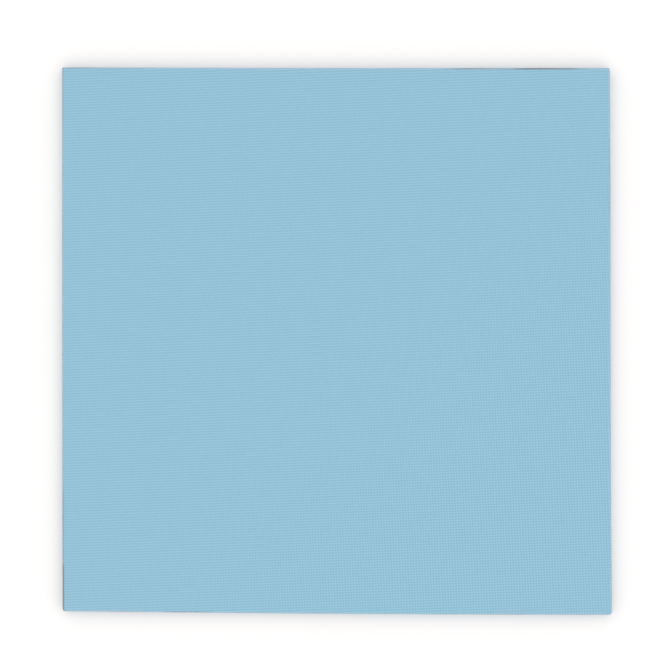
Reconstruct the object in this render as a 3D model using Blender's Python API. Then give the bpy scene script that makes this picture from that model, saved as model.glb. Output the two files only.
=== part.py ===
"""Thermal pad sheet: one square of soft silicone filled with ceramic powder, cut from a rolled web.

Metres, +Z up. The sheet lies flat with its underside on z = 0 and the middle of its square over
the origin. It is one piece all through: nothing is laid on it, set in it or bonded to it. The fine
cloth print of its faces, a few hundredths of a millimetre deep, isn't modelled here.
"""

from math import sqrt

import bpy
from mathutils import Vector

# Driving dimensions
SIDE = 0.145                    # each side of the standard square sheet, as it is cut
THICKNESS = 0.0025              # the gap that the sheet is made to fill
EDGE_ROUND = 0.0002             # where the faces roll over into the cut sides

# Radius that the blade left at each corner
NEAR_LEFT_RADIUS = 0.0006
NEAR_RIGHT_RADIUS = 0.0008
FAR_RIGHT_RADIUS = 0.0004
FAR_LEFT_RADIUS = 0.0004

# A soft sheet gives under the blade, so its sides aren't quite straight. A bow is how far the
# middle of a side stands out. A sway is how far the side stands out before its middle and in
# after it, going anticlockwise round the sheet.
NEAR_BOW = 0.00021
NEAR_SWAY = -0.00002
RIGHT_BOW = -0.00006
RIGHT_SWAY = -0.00008
FAR_BOW = -0.00009
FAR_SWAY = 0.00001
LEFT_BOW = 0.00004
LEFT_SWAY = -0.00002

# Peeling the sheet off its liner pulls it a little out of square: longer along X by this share and
# shorter along Y, with each pair of sides turned by half of this angle in radians, against the
# other pair. It is minus where the far side moves to the left.
PULL_STRETCH = 0.003
PULL_SKEW = -0.0065

# Lengths of a cubic curve's handles: along them for a quarter circle, as a share of its radius,
# and across them for a side, as multiples of its bow and its sway
ARC_HANDLE = 4 / 3 * (sqrt(2) - 1)
BOW_HANDLE = 4 / 3
SWAY_HANDLE = 2 * sqrt(3)

STEPS_PER_CURVE = 12            # straight steps in each side and in each corner
EDGE_STEPS = 1                  # extra steps in a rolled edge

# Light blue silicone with a matt face, as a linear colour
SILICONE_BLUE = (0.305, 0.546, 0.687, 1.0)
SILICONE_ROUGHNESS = 0.6


def clear_scene():
    for thing in list(bpy.data.objects):
        bpy.data.objects.remove(thing, do_unlink=True)


def filled_silicone():
    material = bpy.data.materials.new("filled_silicone")
    material.use_nodes = True
    shader = material.node_tree.nodes["Principled BSDF"]
    shader.inputs["Base Color"].default_value = SILICONE_BLUE
    shader.inputs["Roughness"].default_value = SILICONE_ROUGHNESS
    shader.inputs["Metallic"].default_value = 0.0
    return material


def pulled(place):
    """Where a place on the square, as it was cut, comes to lie after the sheet is peeled off."""
    turn = PULL_SKEW / 2
    x = place.x * (1 + PULL_STRETCH) + place.y * turn
    y = place.y * (1 - PULL_STRETCH) + place.x * turn
    return Vector((x, y, 0))


def place_point(point, place, back, forward):
    """A point of the outline with a free handle on each side of it."""
    point.handle_left_type = "FREE"
    point.handle_right_type = "FREE"
    point.co = pulled(place)
    point.handle_left = pulled(back)
    point.handle_right = pulled(forward)


def cut_outline(name):
    """The outline that the blade left: four sides anticlockwise, with an arc between each two."""
    half = SIDE / 2
    near_left = Vector((-half, -half, 0))
    near_right = Vector((half, -half, 0))
    far_right = Vector((half, half, 0))
    far_left = Vector((-half, half, 0))
    sides = (
        (near_left, NEAR_LEFT_RADIUS, near_right, NEAR_RIGHT_RADIUS, NEAR_BOW, NEAR_SWAY),
        (near_right, NEAR_RIGHT_RADIUS, far_right, FAR_RIGHT_RADIUS, RIGHT_BOW, RIGHT_SWAY),
        (far_right, FAR_RIGHT_RADIUS, far_left, FAR_LEFT_RADIUS, FAR_BOW, FAR_SWAY),
        (far_left, FAR_LEFT_RADIUS, near_left, NEAR_LEFT_RADIUS, LEFT_BOW, LEFT_SWAY),
    )
    curve = bpy.data.curves.new(name, "CURVE")
    curve.dimensions = "2D"
    curve.fill_mode = "BOTH"
    curve.resolution_u = STEPS_PER_CURVE
    spline = curve.splines.new("BEZIER")
    spline.use_cyclic_u = True
    spline.bezier_points.add(2 * len(sides) - 1)

    for index, (corner, radius, next_corner, next_radius, bow, sway) in enumerate(sides):
        along = (next_corner - corner).normalized()
        outwards = Vector((along.y, -along.x, 0))
        start = corner + along * radius
        end = next_corner - along * next_radius
        third = (end - start) / 3
        place_point(
            spline.bezier_points[2 * index],
            start,
            start - along * radius * ARC_HANDLE,
            start + third + outwards * (bow * BOW_HANDLE + sway * SWAY_HANDLE),
        )
        place_point(
            spline.bezier_points[2 * index + 1],
            end,
            end - third + outwards * (bow * BOW_HANDLE - sway * SWAY_HANDLE),
            end + along * next_radius * ARC_HANDLE,
        )
    return curve


def make_pad_sheet(collection):
    """The cut square at its thickness, lying on z = 0."""
    curve = cut_outline("pad_sheet")
    curve.extrude = THICKNESS / 2 - EDGE_ROUND
    # A curve's bevel grows outwards, so the faces are drawn in by as much
    curve.bevel_depth = EDGE_ROUND
    curve.bevel_resolution = EDGE_STEPS
    curve.offset = -EDGE_ROUND
    curve.materials.append(filled_silicone())

    sheet = bpy.data.objects.new("pad_sheet", curve)
    sheet.location.z = THICKNESS / 2
    collection.objects.link(sheet)


def main():
    clear_scene()
    collection = bpy.data.collections.new("thermal_pad_sheet")
    bpy.context.scene.collection.children.link(collection)
    make_pad_sheet(collection)


main()
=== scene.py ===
"""Looks of the thermal pad sheet: soft blue silicone with the print of a woven liner film.

The sheet stays the one piece that it is. Its solid is cut to the print in Geometry Nodes, facet by
facet, and gets two finishes: the printed faces and the cut sides. Metres, +Z up, object lying flat.
"""
from math import pi, radians, sqrt

import bmesh
import bpy
from mathutils import Matrix, Vector


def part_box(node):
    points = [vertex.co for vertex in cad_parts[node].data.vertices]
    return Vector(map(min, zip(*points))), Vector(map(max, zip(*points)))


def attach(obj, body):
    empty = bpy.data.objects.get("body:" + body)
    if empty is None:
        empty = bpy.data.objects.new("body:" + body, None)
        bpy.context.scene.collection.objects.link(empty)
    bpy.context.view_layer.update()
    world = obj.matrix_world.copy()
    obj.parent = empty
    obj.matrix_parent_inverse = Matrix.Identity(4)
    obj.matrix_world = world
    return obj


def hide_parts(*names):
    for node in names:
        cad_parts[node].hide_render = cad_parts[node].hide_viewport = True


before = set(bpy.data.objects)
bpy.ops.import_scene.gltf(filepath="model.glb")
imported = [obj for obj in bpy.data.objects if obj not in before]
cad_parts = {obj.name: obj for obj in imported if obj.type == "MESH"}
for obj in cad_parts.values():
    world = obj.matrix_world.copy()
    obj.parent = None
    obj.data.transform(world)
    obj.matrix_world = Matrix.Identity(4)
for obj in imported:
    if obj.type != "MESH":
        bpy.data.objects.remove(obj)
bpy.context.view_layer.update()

MM = 0.001

FACE_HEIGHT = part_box("pad_sheet")[1].z

# Print of the woven liner, which the soft face took as it was rolled: a low cushion in each mesh of
# the cloth, and a groove under each thread
PITCH_ACROSS = 0.7294 * MM      # from thread to thread along X
PITCH_ALONG = 0.7105 * MM       # from thread to thread along Y
PRINT_TURN = radians(2.35)      # the film ran this far off the sheet's sides
PRINT_DEPTH = 0.07 * MM         # from the tops of the cushions to the grooves
PRINT_SAG = 0.12                # how much lower than the rest a cushion may be, as a share
PRINT_SEED = 7
HALF_FIELD = 77 * MM            # from the middle to the side of the film, which is past every cut
BLOCK_DEPTH = 2.0               # depth of the block under the print, in thicknesses of the sheet

# The whole sheet, print and all, was pulled out of square as it was peeled, as its solid is
PULL_STRETCH = 0.003
PULL_SKEW = -0.0065

# Points closer than this, in metres, are joined: those of the frame's solid, and of the print
SOLID_WELD = 1e-7
PRINT_WELD = 1e-6

# A face is a wall, or gets the finish of the cut sides, where its normal rises less than this
WALL_RISE = 0.2
CUT_RISE = 0.9

# Named inputs of the tree that cuts the print
PRINT_SIZES = {
    "Pitch Across": PITCH_ACROSS,
    "Pitch Along": PITCH_ALONG,
    "Print Depth": PRINT_DEPTH,
    "Print Turn": PRINT_TURN,
    "Print Sag": PRINT_SAG,
    "Face Height": FACE_HEIGHT,
    "Half Field": HALF_FIELD,
    "Stretch": PULL_STRETCH,
    "Skew": PULL_SKEW,
}

# Silicone: its colour wanders between two blues, and its roughness between two values, in clouds
SILICONE_IOR = 1.41
FACE_PINKER = "#8FBAD0"
FACE_GREENER = "#8BBBD0"
FACE_SMOOTHER = 0.55
FACE_ROUGHER = 0.65
CLOUD_SIZE = 5 * MM
GRAIN_SIZE = 0.4 * MM
GRAIN = 0.04                    # how much lighter or darker a grain may be
NOISE_LOW, NOISE_HIGH = 0.3, 0.7    # what the value of a noise texture mostly keeps between

# Painted shade in the grooves: how much darker they are painted, and between which distances from the
# middle, measured towards the near right corner along both sides, it comes in for the threads along Y
X_GROOVE_PAINTED_SHADE = 0.158
Y_GROOVE_PAINTED_SHADE = 0.12
GROOVE_POWER = 1.5              # narrows the grooves between the cushions
GROOVE_MEAN = 0.42              # what groove_lines comes to on average
Y_SHADE_FROM = -60 * MM
Y_SHADE_TO = 112 * MM

# Rim along which the face is dusty and carries a dark line of painted shade, and the greys of its dust
# and of that line
RIM_WIDTH = 0.5 * MM
RIM_FADE = 0.15 * MM
DUST_GREY = "#BFC3C6"
DUST = 0.2                      # share of the rim's colour that is pale dust, where the painted shade line isn't
SHADE_LINE_GREY = "#737A84"
SHADE_LINE_CORE = 0.5                 # share of a stretch's reach within which it has its full strength
SHADE_LINE_PATCH = 0.12               # how much stronger or weaker the painted shade line may be in a small patch
PATCH_SIZE = 1.5 * MM
BEAD_LEAST = 0.7                # share of the painted shade line's strength on top of a cushion
BEAD_MORE = 0.6                 # what the middle of a groove adds to it

# Cut sides: greyer and darker than the face, with drag lines, and with the rim's painted shade line
# fading further down
CUT_BLUE = "#7690A2"
CUT_ROUGHNESS = 0.8
DRAG_PITCH = 0.1 * MM           # from line to line up the side
DRAG_DEPTH = 0.03 * MM
DRAG_STRENGTH = 0.5
DRAG_RUN = 50                   # how many pitches long a line is
SHADE_LINE_FADES = 2.1 * MM           # height below which the painted shade line fades
SHADE_LINE_FADED = 0.8 * MM           # height below which it fades no more
SHADE_LINE_BELOW = 0.25               # share of it that is left there

# Stretches of the cut edge with the dark line of painted shade: middle along X and Y, reach along X and
# Y (all mm) and strength.
# The short reach is across the edge, and keeps a stretch near a corner off the next side.
SHADE_LINE_STRETCHES = (
    (-72.5, 0, 2, 130, 0.12),
    (-72.5, -52, 2, 18, 0.45),
    (-72.7, -66, 1.6, 10, 1.0),
    (-72.5, 64.6, 2, 12, 0.3),
    (55.5, 72.5, 12.5, 2, 1.0),
    (40, 72.5, 14, 2, 0.45),
    (-66, 72.5, 18, 2, 0.2),
    (-39.4, -72.5, 9, 2, 0.3),
    (72.5, 42, 2, 14, 0.25),
)

# Photograph: 672 pixels square, seen from above through a long lens
LENS_MM = 100
SENSOR_MM = 36
CAMERA_AT = Vector((9.12, -4.10, 497.11)) * MM
CAMERA_AIM = Vector((0.029, 1.032, 2.5)) * MM
CAMERA_UP = Vector((-0.00053, 0.99995, 0.01038))

# Light: how bright the tent is at the floor and overhead, and the key that brings out the print
TENT_WHITE = "#FFFFFF"
TENT_LOW = 1.6
TENT_HIGH = 0.9
KEY_WATTS = 0.5
KEY_SIZE = 0.5
KEY_AT = Vector((0.3, -0.9, 0.6))

# Floor: matt paper of a slightly warm white, which evens out the blue that the sheet casts on it
FLOOR_WHITE = "#F5F3F2"
FLOOR_SIZE = 4
FLOOR_ROUGHNESS = 0.9
FLOOR_SPECULAR = 0.1

# Sockets of nodes that give one name to several: colours of a Mix, numbers of a Random Value
MIX_A, MIX_B, MIXED = 6, 7, 2
RANDOM_MIN, RANDOM_MAX, RANDOM = 2, 3, 1


def linear(hex_colour):
    """An sRGB hex colour as linear red, green, blue and alpha."""
    channels = [int(hex_colour[i:i + 2], 16) / 255 for i in (1, 3, 5)]
    return (*(c / 12.92 if c <= 0.04045 else ((c + 0.055) / 1.055) ** 2.4 for c in channels), 1.0)


def add_node(tree, kind, inputs=None, **settings):
    """A node with its settings, and its inputs set to values or linked to sockets."""
    node = tree.nodes.new(kind)
    for name, value in settings.items():
        setattr(node, name, value)
    for name, value in (inputs or {}).items():
        for one in value if isinstance(value, list) else [value]:
            if isinstance(one, bpy.types.NodeSocket):
                tree.links.new(one, node.inputs[name])
            else:
                node.inputs[name].default_value = one
    return node


# Materials

def thread_counts():
    """Two rows that turn a place on the sheet into threads counted along X and along Y."""
    turn = Matrix.Rotation(PRINT_TURN, 2)
    half_skew = PULL_SKEW / 2
    pull = Matrix(((1 + PULL_STRETCH, half_skew), (half_skew, 1 - PULL_STRETCH)))
    back = (pull @ turn).inverted()
    return (*(back[0] / PITCH_ACROSS), 0), (*(back[1] / PITCH_ALONG), 0)


def groove_lines(tree, place, row):
    """How near a place is to the groove of a thread: 1 in its middle, 0 on top of a cushion."""
    count = add_node(tree, "ShaderNodeVectorMath", {0: place, 1: row}, operation="DOT_PRODUCT")
    angle = add_node(tree, "ShaderNodeMath", {
        0: count.outputs["Value"], 1: 2 * pi}, operation="MULTIPLY")
    wave = add_node(tree, "ShaderNodeMath", {0: angle.outputs[0]}, operation="COSINE")
    line = add_node(tree, "ShaderNodeMath", {
        0: wave.outputs[0], 1: -0.5, 2: 0.5}, operation="MULTIPLY_ADD")
    narrowed = add_node(tree, "ShaderNodeMath", {
        0: line.outputs[0], 1: GROOVE_POWER}, operation="POWER")
    return narrowed.outputs[0]


def shade_line_mask(tree, place):
    """How strong the painted shade line along the edge is at a place, from 0 to 1, in uneven patches.
    """
    shade_line = None
    for x, y, reach_x, reach_y, strength in SHADE_LINE_STRETCHES:
        gap = add_node(tree, "ShaderNodeVectorMath", {
            0: place, 1: (x * MM, y * MM, 0)}, operation="SUBTRACT")
        gap = add_node(tree, "ShaderNodeVectorMath", {
            0: gap.outputs["Vector"], 1: (reach_x * MM, reach_y * MM, 1.0)}, operation="DIVIDE")
        gap = add_node(tree, "ShaderNodeVectorMath", {0: gap.outputs["Vector"]}, operation="LENGTH")
        mark = add_node(tree, "ShaderNodeMapRange", {
            "Value": gap.outputs["Value"], "From Min": SHADE_LINE_CORE, "From Max": 1.0,
            "To Min": strength, "To Max": 0.0}, interpolation_type="SMOOTHSTEP").outputs["Result"]
        if shade_line is None:
            shade_line = mark
        else:
            shade_line = add_node(tree, "ShaderNodeMath", {0: shade_line, 1: mark}, operation="MAXIMUM").outputs[0]
    patch = add_node(tree, "ShaderNodeTexNoise", {
        "Vector": place, "Scale": 1 / PATCH_SIZE, "Detail": 3.0, "Roughness": 0.6}).outputs["Fac"]
    patch = add_node(tree, "ShaderNodeMapRange", {
        "Value": patch, "From Min": NOISE_LOW, "From Max": NOISE_HIGH,
        "To Min": -SHADE_LINE_PATCH, "To Max": SHADE_LINE_PATCH})
    shade_line = add_node(tree, "ShaderNodeMath", {
        0: shade_line, 1: patch.outputs["Result"]}, operation="ADD", use_clamp=True)
    return shade_line.outputs[0]


def printed_silicone():
    """Silicone filled with ceramic powder, rolled between cloth-embossed films and cured.

    The powder makes it matt and even, with a chalky grain. The threads of the film left grooves,
    which are painted darker than the cushions between them, as painted shade: all over along X, and
    along Y mostly towards the near right corner.
    """
    material = bpy.data.materials.new("printed_silicone")
    material.use_nodes = True
    tree = material.node_tree
    shader = tree.nodes["Principled BSDF"]
    shader.inputs["IOR"].default_value = SILICONE_IOR
    place = add_node(tree, "ShaderNodeTexCoord").outputs["Object"]
    across, along = thread_counts()

    # Grooves of the threads along X, and of those along Y
    x_grooves = groove_lines(tree, place, along)
    y_grooves = groove_lines(tree, place, across)

    # The underside has the same print, but only as a bump: nothing sees it while the sheet lies flat
    up = add_node(tree, "ShaderNodeSeparateXYZ", {0: place}).outputs["Z"]
    under = add_node(tree, "ShaderNodeMapRange", {
        "Value": up, "From Min": FACE_HEIGHT / 2, "From Max": 0.0, "To Min": 0.0, "To Max": 1.0})
    groove = add_node(tree, "ShaderNodeMath", {0: x_grooves, 1: y_grooves}, operation="MAXIMUM")
    groove = add_node(tree, "ShaderNodeMath", {
        0: groove.outputs[0], 1: under.outputs["Result"]}, operation="MULTIPLY")
    bump = add_node(tree, "ShaderNodeBump", {
        "Height": groove.outputs[0], "Strength": 1.0, "Distance": PRINT_DEPTH}, invert=True)
    tree.links.new(bump.outputs["Normal"], shader.inputs["Normal"])

    # Painted shade in the grooves: along X all over, and along Y coming in towards the near right
    # corner, centred on its mean so that the face stays as light there as elsewhere
    diagonal = add_node(tree, "ShaderNodeVectorMath", {
        0: place, 1: (1, -1, 0)}, operation="DOT_PRODUCT")
    y_shade_share = add_node(tree, "ShaderNodeMapRange", {
        "Value": diagonal.outputs["Value"], "From Min": Y_SHADE_FROM, "From Max": Y_SHADE_TO,
        "To Min": 0.0, "To Max": 1.0}, interpolation_type="SMOOTHSTEP").outputs["Result"]
    y_grooves = add_node(tree, "ShaderNodeMath", {
        0: y_grooves, 1: GROOVE_MEAN}, operation="SUBTRACT")
    y_grooves = add_node(tree, "ShaderNodeMath", {
        0: y_grooves.outputs[0], 1: y_shade_share}, operation="MULTIPLY")
    painted_shade_and_grain = add_node(tree, "ShaderNodeMath", {
        0: x_grooves, 1: -X_GROOVE_PAINTED_SHADE, 2: 1.0}, operation="MULTIPLY_ADD")
    painted_shade_and_grain = add_node(tree, "ShaderNodeMath", {
        0: y_grooves.outputs[0], 1: -Y_GROOVE_PAINTED_SHADE, 2: painted_shade_and_grain.outputs[0]}, operation="MULTIPLY_ADD")

    # Grain: powder of 0.05 mm, drawn at 0.4 mm so that it shows at the photograph's scale
    grain = add_node(tree, "ShaderNodeTexNoise", {
        "Vector": place, "Scale": 1 / GRAIN_SIZE, "Detail": 2.0, "Roughness": 0.6}).outputs["Fac"]
    grain = add_node(tree, "ShaderNodeMapRange", {
        "Value": grain, "From Min": NOISE_LOW, "From Max": NOISE_HIGH,
        "To Min": 1 - GRAIN, "To Max": 1 + GRAIN}).outputs["Result"]
    # Clouds a few millimetres across, where the powder isn't quite evenly mixed
    cloud = add_node(tree, "ShaderNodeTexNoise", {
        "Vector": place, "Scale": 1 / CLOUD_SIZE, "Detail": 3.0, "Roughness": 0.55}).outputs["Fac"]
    base = add_node(tree, "ShaderNodeMix", {
        0: cloud, MIX_A: linear(FACE_PINKER), MIX_B: linear(FACE_GREENER)}, data_type="RGBA")
    painted_shade_and_grain = add_node(tree, "ShaderNodeMath", {0: painted_shade_and_grain.outputs[0], 1: grain}, operation="MULTIPLY")
    base = add_node(tree, "ShaderNodeVectorMath", {
        0: base.outputs[MIXED], "Scale": painted_shade_and_grain.outputs[0]}, operation="SCALE")

    # Rim, where the face rolls over into the cut: a little dusty, and dark with painted shade along
    # some stretches
    gap = add_node(tree, "ShaderNodeAttribute", attribute_name="edge_gap").outputs["Fac"]
    rim = add_node(tree, "ShaderNodeMapRange", {
        "Value": gap, "From Min": RIM_WIDTH, "From Max": RIM_WIDTH - RIM_FADE,
        "To Min": 0.0, "To Max": 1.0})
    dust = add_node(tree, "ShaderNodeMath", {0: rim.outputs["Result"], 1: DUST}, operation="MULTIPLY")
    base = add_node(tree, "ShaderNodeMix", {
        0: dust.outputs[0], MIX_A: base.outputs["Vector"], MIX_B: linear(DUST_GREY)},
        data_type="RGBA")
    # The painted shade line is darker over the grooves, which beads it at the pitch of the threads
    beads = add_node(tree, "ShaderNodeMath", {
        0: x_grooves, 1: BEAD_MORE, 2: BEAD_LEAST}, operation="MULTIPLY_ADD")
    shade_line = add_node(tree, "ShaderNodeMath", {
        0: shade_line_mask(tree, place), 1: beads.outputs[0]}, operation="MULTIPLY")
    shade_line = add_node(tree, "ShaderNodeMath", {
        0: shade_line.outputs[0], 1: rim.outputs["Result"]}, operation="MULTIPLY", use_clamp=True)
    base = add_node(tree, "ShaderNodeMix", {
        0: shade_line.outputs[0], MIX_A: base.outputs[MIXED], MIX_B: linear(SHADE_LINE_GREY)},
        data_type="RGBA")
    tree.links.new(base.outputs[MIXED], shader.inputs["Base Color"])

    rough = add_node(tree, "ShaderNodeMapRange", {
        "Value": cloud, "From Min": NOISE_LOW, "From Max": NOISE_HIGH,
        "To Min": FACE_SMOOTHER, "To Max": FACE_ROUGHER})
    tree.links.new(rough.outputs["Result"], shader.inputs["Roughness"])
    return material


def cut_silicone():
    """The same silicone where the blade went through, and where the face rolls over into the cut.

    The blade drags it open, so it is rougher, greyer and darker than the face, with fine lines
    along the cut, and the rim's dark grey line of painted shade runs down it along some stretches.
    """
    material = bpy.data.materials.new("cut_silicone")
    material.use_nodes = True
    tree = material.node_tree
    shader = tree.nodes["Principled BSDF"]
    shader.inputs["IOR"].default_value = SILICONE_IOR
    shader.inputs["Roughness"].default_value = CUT_ROUGHNESS
    place = add_node(tree, "ShaderNodeTexCoord").outputs["Object"]

    # The painted shade line of the rim fades down the side
    up = add_node(tree, "ShaderNodeSeparateXYZ", {0: place}).outputs["Z"]
    fade = add_node(tree, "ShaderNodeMapRange", {
        "Value": up, "From Min": SHADE_LINE_FADED, "From Max": SHADE_LINE_FADES,
        "To Min": SHADE_LINE_BELOW, "To Max": 1.0})
    shade_line = add_node(tree, "ShaderNodeMath", {
        0: shade_line_mask(tree, place), 1: fade.outputs["Result"]}, operation="MULTIPLY")
    base = add_node(tree, "ShaderNodeMix", {
        0: shade_line.outputs[0], MIX_A: linear(CUT_BLUE), MIX_B: linear(SHADE_LINE_GREY)}, data_type="RGBA")
    tree.links.new(base.outputs[MIXED], shader.inputs["Base Color"])

    # Lines that the blade dragged along the cut
    drawn_out = add_node(tree, "ShaderNodeMapping", {
        "Vector": place, "Scale": (1 / DRAG_RUN, 1 / DRAG_RUN, 1.0)})
    drag = add_node(tree, "ShaderNodeTexNoise", {
        "Vector": drawn_out.outputs["Vector"], "Scale": 1 / DRAG_PITCH,
        "Detail": 2.0, "Roughness": 0.5})
    bump = add_node(tree, "ShaderNodeBump", {
        "Height": drag.outputs["Fac"], "Strength": DRAG_STRENGTH, "Distance": DRAG_DEPTH})
    tree.links.new(bump.outputs["Normal"], shader.inputs["Normal"])
    return material


# The sheet

def print_tree(face_material, side_material):
    """Cuts a solid down to the print: a field of low four-sided cushions, one to a mesh of the film."""
    tree = bpy.data.node_groups.new("liner_print", "GeometryNodeTree")
    tree.interface.new_socket("Sheet", in_out="INPUT", socket_type="NodeSocketGeometry")
    for name in PRINT_SIZES:
        tree.interface.new_socket(name, in_out="INPUT", socket_type="NodeSocketFloat")
    tree.interface.new_socket("Printed", in_out="OUTPUT", socket_type="NodeSocketGeometry")
    given = add_node(tree, "NodeGroupInput").outputs

    # Walls that the blade left, before the print, to measure how far a place is from the outline
    normal = add_node(tree, "GeometryNodeInputNormal").outputs[0]
    rise = add_node(tree, "ShaderNodeSeparateXYZ", {0: normal}).outputs["Z"]
    rise = add_node(tree, "ShaderNodeMath", {0: rise}, operation="ABSOLUTE").outputs[0]
    wall = add_node(tree, "FunctionNodeCompare", {"A": rise, "B": WALL_RISE}, operation="LESS_THAN")
    walls = add_node(tree, "GeometryNodeSeparateGeometry", {
        "Geometry": given["Sheet"], "Selection": wall.outputs[0]}, domain="FACE")
    place = add_node(tree, "GeometryNodeInputPosition").outputs[0]
    parted = add_node(tree, "ShaderNodeSeparateXYZ", {0: place}).outputs
    middle = add_node(tree, "ShaderNodeMath", {
        0: given["Face Height"], 1: 0.5}, operation="MULTIPLY")
    level = add_node(tree, "ShaderNodeCombineXYZ", {
        "X": parted["X"], "Y": parted["Y"], "Z": middle.outputs[0]})
    edge_gap = add_node(tree, "GeometryNodeProximity", {
        "Target": walls.outputs["Selection"], "Source Position": level.outputs[0]},
        target_element="FACES").outputs["Distance"]

    def count(pitch):
        """Width of the field, in whole cushions with one at its middle, and its rows of points."""
        cells = add_node(tree, "ShaderNodeMath", {
            0: given["Half Field"], 1: given[pitch]}, operation="DIVIDE")
        half = add_node(tree, "ShaderNodeMath", {0: cells.outputs[0]}, operation="CEIL")
        whole = add_node(tree, "ShaderNodeMath", {0: half.outputs[0], 1: 2.0}, operation="MULTIPLY")
        width = add_node(tree, "ShaderNodeMath", {
            0: whole.outputs[0], 1: given[pitch]}, operation="MULTIPLY")
        points = add_node(tree, "ShaderNodeMath", {0: whole.outputs[0], 1: 1.0}, operation="ADD")
        return width.outputs[0], points.outputs[0]

    # Field of cushions, each a cone of four sides over a unit square that is scaled to its mesh
    width, columns = count("Pitch Across")
    length, rows = count("Pitch Along")
    middles = add_node(tree, "GeometryNodeMeshGrid", {
        "Size X": width, "Size Y": length, "Vertices X": columns, "Vertices Y": rows})
    cushion = add_node(tree, "GeometryNodeMeshCone", {
        "Vertices": 4, "Radius Top": 0.0, "Radius Bottom": sqrt(0.5), "Depth": 1.0}, fill_type="NONE")
    cushion = add_node(tree, "GeometryNodeTransform", {
        "Geometry": cushion.outputs["Mesh"], "Rotation": (0, 0, radians(45))})
    least = add_node(tree, "ShaderNodeMath", {0: 1.0, 1: given["Print Sag"]}, operation="SUBTRACT")
    sag = add_node(tree, "FunctionNodeRandomValue", {
        RANDOM_MIN: least.outputs[0], RANDOM_MAX: 1.0, "Seed": PRINT_SEED}, data_type="FLOAT")
    height = add_node(tree, "ShaderNodeMath", {
        0: given["Print Depth"], 1: sag.outputs[RANDOM]}, operation="MULTIPLY")
    size = add_node(tree, "ShaderNodeCombineXYZ", {
        "X": given["Pitch Across"], "Y": given["Pitch Along"], "Z": height.outputs[0]})
    field = add_node(tree, "GeometryNodeInstanceOnPoints", {
        "Points": middles.outputs["Mesh"], "Instance": cushion.outputs[0], "Scale": size.outputs[0]})
    field = add_node(tree, "GeometryNodeRealizeInstances", {"Geometry": field.outputs[0]})
    field = add_node(tree, "GeometryNodeMergeByDistance", {
        "Geometry": field.outputs[0], "Distance": PRINT_WELD})
    turn = add_node(tree, "ShaderNodeCombineXYZ", {"Z": given["Print Turn"]})
    groove = add_node(tree, "ShaderNodeMath", {
        0: given["Face Height"], 1: given["Print Depth"]}, operation="SUBTRACT")
    lift = add_node(tree, "ShaderNodeCombineXYZ", {"Z": groove.outputs[0]})
    field = add_node(tree, "GeometryNodeTransform", {
        "Geometry": field.outputs[0], "Translation": lift.outputs[0], "Rotation": turn.outputs[0]})

    # Pull: x + x * stretch + y * skew / 2, and y - y * stretch + x * skew / 2
    half_skew = add_node(tree, "ShaderNodeMath", {
        0: given["Skew"], 1: 0.5}, operation="MULTIPLY").outputs[0]
    shrink = add_node(tree, "ShaderNodeMath", {
        0: given["Stretch"], 1: -1.0}, operation="MULTIPLY").outputs[0]
    row_x = add_node(tree, "ShaderNodeCombineXYZ", {"X": given["Stretch"], "Y": half_skew})
    row_y = add_node(tree, "ShaderNodeCombineXYZ", {"X": half_skew, "Y": shrink})
    move_x = add_node(tree, "ShaderNodeVectorMath", {
        0: place, 1: row_x.outputs[0]}, operation="DOT_PRODUCT")
    move_y = add_node(tree, "ShaderNodeVectorMath", {
        0: place, 1: row_y.outputs[0]}, operation="DOT_PRODUCT")
    pull = add_node(tree, "ShaderNodeCombineXYZ", {
        "X": move_x.outputs["Value"], "Y": move_y.outputs["Value"]})
    field = add_node(tree, "GeometryNodeSetPosition", {
        "Geometry": field.outputs[0], "Offset": pull.outputs[0]})

    # Block under the field, closed, and deeper than the sheet, to cut the solid with
    down = add_node(tree, "ShaderNodeCombineXYZ", {"Z": -BLOCK_DEPTH})
    block = add_node(tree, "GeometryNodeExtrudeMesh", {
        "Mesh": field.outputs[0], "Offset": down.outputs[0], "Offset Scale": given["Face Height"],
        "Individual": False})
    block = add_node(tree, "GeometryNodeFlipFaces", {"Mesh": block.outputs[0]})
    block = add_node(tree, "GeometryNodeJoinGeometry", {
        "Geometry": [field.outputs[0], block.outputs[0]]})
    block = add_node(tree, "GeometryNodeMergeByDistance", {
        "Geometry": block.outputs[0], "Distance": PRINT_WELD})
    sheet = add_node(tree, "GeometryNodeMeshBoolean", {
        "Mesh 2": [given["Sheet"], block.outputs[0]]}, operation="INTERSECT", solver="MANIFOLD")

    sheet = add_node(tree, "GeometryNodeRealizeInstances", {"Geometry": sheet.outputs[0]})
    sheet = add_node(tree, "GeometryNodeStoreNamedAttribute", {
        "Geometry": sheet.outputs[0], "Name": "edge_gap", "Value": edge_gap},
        data_type="FLOAT", domain="POINT")
    side = add_node(tree, "FunctionNodeCompare", {"A": rise, "B": CUT_RISE}, operation="LESS_THAN")
    sheet = add_node(tree, "GeometryNodeSetMaterial", {
        "Geometry": sheet.outputs[0], "Material": face_material})
    sheet = add_node(tree, "GeometryNodeSetMaterial", {
        "Geometry": sheet.outputs[0], "Selection": side.outputs[0], "Material": side_material})
    add_node(tree, "NodeGroupOutput", {"Printed": sheet.outputs[0]})
    return tree


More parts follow.
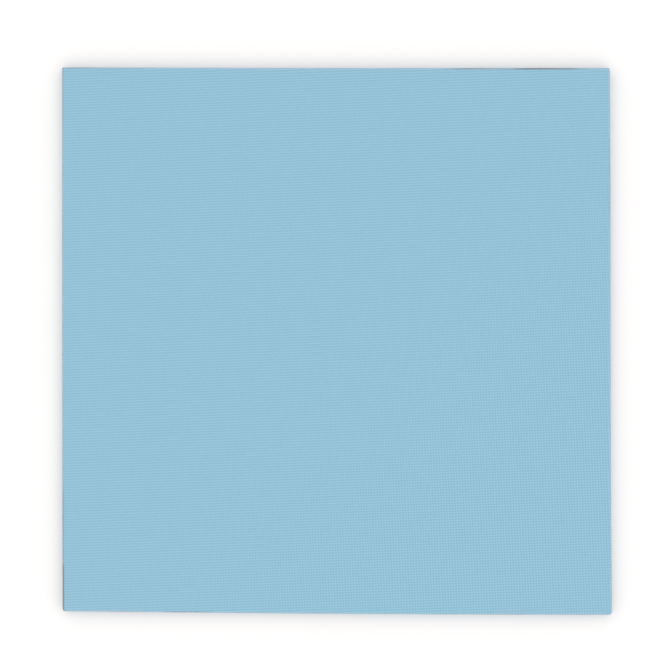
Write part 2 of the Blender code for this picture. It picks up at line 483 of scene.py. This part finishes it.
def make_sheet():
    """The frame's solid, closed up and cut to the print, as one plain mesh."""
    solid = bmesh.new()
    solid.from_mesh(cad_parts["pad_sheet"].data)
    bmesh.ops.remove_doubles(solid, verts=solid.verts, dist=SOLID_WELD)
    blank = bpy.data.meshes.new("sheet_blank")
    solid.to_mesh(blank)
    solid.free()

    sheet = bpy.data.objects.new("silicone_sheet", blank)
    bpy.context.scene.collection.objects.link(sheet)
    modifier = sheet.modifiers.new("liner_print", "NODES")
    modifier.node_group = print_tree(printed_silicone(), cut_silicone())
    for socket in modifier.node_group.interface.items_tree:
        if socket.name in PRINT_SIZES:
            modifier[socket.identifier] = PRINT_SIZES[socket.name]
    done = sheet.evaluated_get(bpy.context.evaluated_depsgraph_get())
    mesh = bpy.data.meshes.new_from_object(done)
    mesh.name = "silicone_sheet"
    sheet.modifiers.clear()
    sheet.data = mesh
    bpy.data.meshes.remove(blank)

    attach(sheet, "root")
    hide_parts("pad_sheet")


# Studio

def make_floor():
    """Plain paper, as the sheet lies on in the photograph."""
    bpy.ops.mesh.primitive_plane_add(size=FLOOR_SIZE)
    floor = bpy.context.object
    floor.name = "floor"
    material = bpy.data.materials.new("white_paper_sweep")
    material.use_nodes = True
    shader = material.node_tree.nodes["Principled BSDF"]
    shader.inputs["Base Color"].default_value = linear(FLOOR_WHITE)
    shader.inputs["Roughness"].default_value = FLOOR_ROUGHNESS
    shader.inputs["Specular IOR Level"].default_value = FLOOR_SPECULAR
    floor.data.materials.append(material)


def make_camera():
    """The photograph's camera, turned so that CAMERA_UP is up in the picture."""
    camera = bpy.data.objects.new("camera", bpy.data.cameras.new("camera"))
    camera.data.lens = LENS_MM
    camera.data.sensor_width = SENSOR_MM
    back = (CAMERA_AT - CAMERA_AIM).normalized()
    right = CAMERA_UP.cross(back).normalized()
    up = back.cross(right)
    turn = Matrix((right, up, back)).transposed()
    camera.matrix_world = Matrix.Translation(CAMERA_AT) @ turn.to_4x4()
    bpy.context.scene.collection.objects.link(camera)
    bpy.context.scene.camera = camera


def make_light():
    """A white tent, brighter low down than overhead, and a weak soft key from the near right."""
    world = bpy.data.worlds.new("soft_tent")
    world.use_nodes = True
    tree = world.node_tree
    way = add_node(tree, "ShaderNodeTexCoord").outputs["Generated"]
    up = add_node(tree, "ShaderNodeSeparateXYZ", {0: way}).outputs["Z"]
    glow = add_node(tree, "ShaderNodeMapRange", {
        "Value": up, "From Min": 0.0, "From Max": 1.0, "To Min": TENT_LOW, "To Max": TENT_HIGH})
    background = tree.nodes["Background"]
    background.inputs["Color"].default_value = linear(TENT_WHITE)
    tree.links.new(glow.outputs["Result"], background.inputs["Strength"])
    bpy.context.scene.world = world

    lamp = bpy.data.lights.new("key", "AREA")
    lamp.energy = KEY_WATTS
    lamp.size = KEY_SIZE
    key = bpy.data.objects.new("key", lamp)
    key.location = KEY_AT
    key.rotation_euler = (-KEY_AT).to_track_quat("-Z", "Y").to_euler()
    bpy.context.scene.collection.objects.link(key)


make_camera()
make_floor()
make_light()
make_sheet()
bpy.context.scene.view_settings.view_transform = "Standard"
